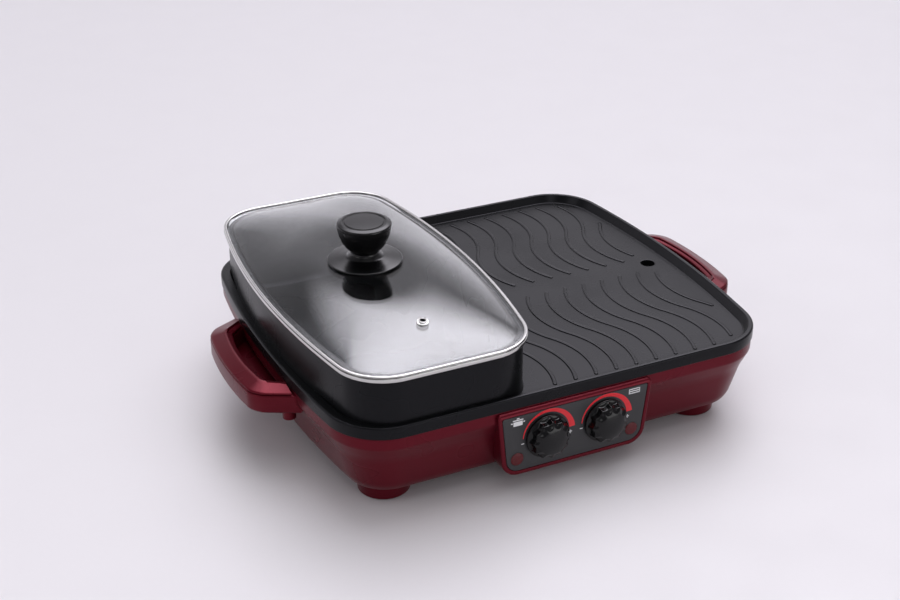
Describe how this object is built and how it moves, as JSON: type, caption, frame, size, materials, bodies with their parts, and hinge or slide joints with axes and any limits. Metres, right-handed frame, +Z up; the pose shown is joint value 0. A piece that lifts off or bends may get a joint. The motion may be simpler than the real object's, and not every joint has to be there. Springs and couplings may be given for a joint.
{
  "type": "electric grill and hot pot",
  "caption": "Countertop cooker with a deep pot under a lift-off glass lid beside a ribbed grill plate with a drain, on a base with side handles and front control knobs.",
  "frame": {"origin": "centre of the bounding box's bottom face, on the table under the rubber pads", "axes": "+Z up, -Y is the front with the control knobs, +X runs along the long side from the pot to the grill plate"},
  "size_m": [0.424, 0.3262, 0.159],
  "materials": {
    "burgundy_plastic": "metallic burgundy moulding, polished",
    "nonstick_aluminium": "black non-stick coating on cast aluminium",
    "fascia_plastic": "dark grey fascia",
    "black_gloss_plastic": "polished black",
    "black_plastic": "matt black",
    "rubber": "soft black rubber",
    "plated_steel": "zinc plated",
    "stainless": "polished stainless sheet",
    "sheet_aluminium": "mill finish sheet",
    "element_sheath": "oxidised heater sheath",
    "brass": "plated contact blades",
    "red_lens": "clear dark red",
    "lamp_glass": "small neon lamp",
    "lid_glass": "clear tempered glass"
  },
  "bodies": {
    "base": {"base_shell": "burgundy_plastic", "panel_bezel": "burgundy_plastic", "left_handle_top": "burgundy_plastic", "left_handle_bottom": "burgundy_plastic", "right_handle_top": "burgundy_plastic", "right_handle_bottom": "burgundy_plastic", "foot_front_left": "burgundy_plastic", "foot_front_right": "burgundy_plastic", "foot_rear_left": "burgundy_plastic", "foot_rear_right": "burgundy_plastic", "pan": "nonstick_aluminium", "panel_plate": "fascia_plastic", "pot_regulator": "black_plastic", "grill_regulator": "black_plastic", "inlet_housing": "black_plastic", "tray_rails": "black_plastic", "foot_pads": "rubber", "handle_screws": "plated_steel", "regulator_nuts": "plated_steel", "pan_screws": "plated_steel", "element_clamps": "plated_steel", "heat_shield": "sheet_aluminium", "drain_tube": "sheet_aluminium", "pot_element": "element_sheath", "grill_element": "element_sheath", "inlet_pins": "brass", "pot_lens": "red_lens", "grill_lens": "red_lens", "pot_lamp": "lamp_glass", "grill_lamp": "lamp_glass"},
    "lid": {"lid_rim": "stainless", "lid_glass": "lid_glass", "lid_knob": "black_gloss_plastic", "lid_knob_base": "black_gloss_plastic", "lid_knob_screw": "plated_steel", "lid_washer": "rubber", "lid_vent": "stainless"},
    "pot_knob": {"pot_knob": "black_gloss_plastic", "pot_knob_shaft": "plated_steel"},
    "grill_knob": {"grill_knob": "black_gloss_plastic", "grill_knob_shaft": "plated_steel"},
    "drip_tray": {"drip_tray": "stainless"}
  },
  "joints": [
    {"name": "lid_lift", "type": "slide", "parent": "base", "child": "lid", "axis": [0, 0, 1], "range_m": [0, 0.12]},
    {"name": "pot_knob_turn", "type": "hinge", "parent": "base", "child": "pot_knob", "pos_m": [-0.024, -0.1501, 0.042], "axis": [0, 1, 0], "range_deg": [0, 180]},
    {"name": "grill_knob_turn", "type": "hinge", "parent": "base", "child": "grill_knob", "pos_m": [0.024, -0.1501, 0.042], "axis": [0, 1, 0], "range_deg": [0, 180]},
    {"name": "tray_slide", "type": "slide", "parent": "base", "child": "drip_tray", "axis": [1, 0, 0], "range_m": [0, 0.07]}
  ]
}
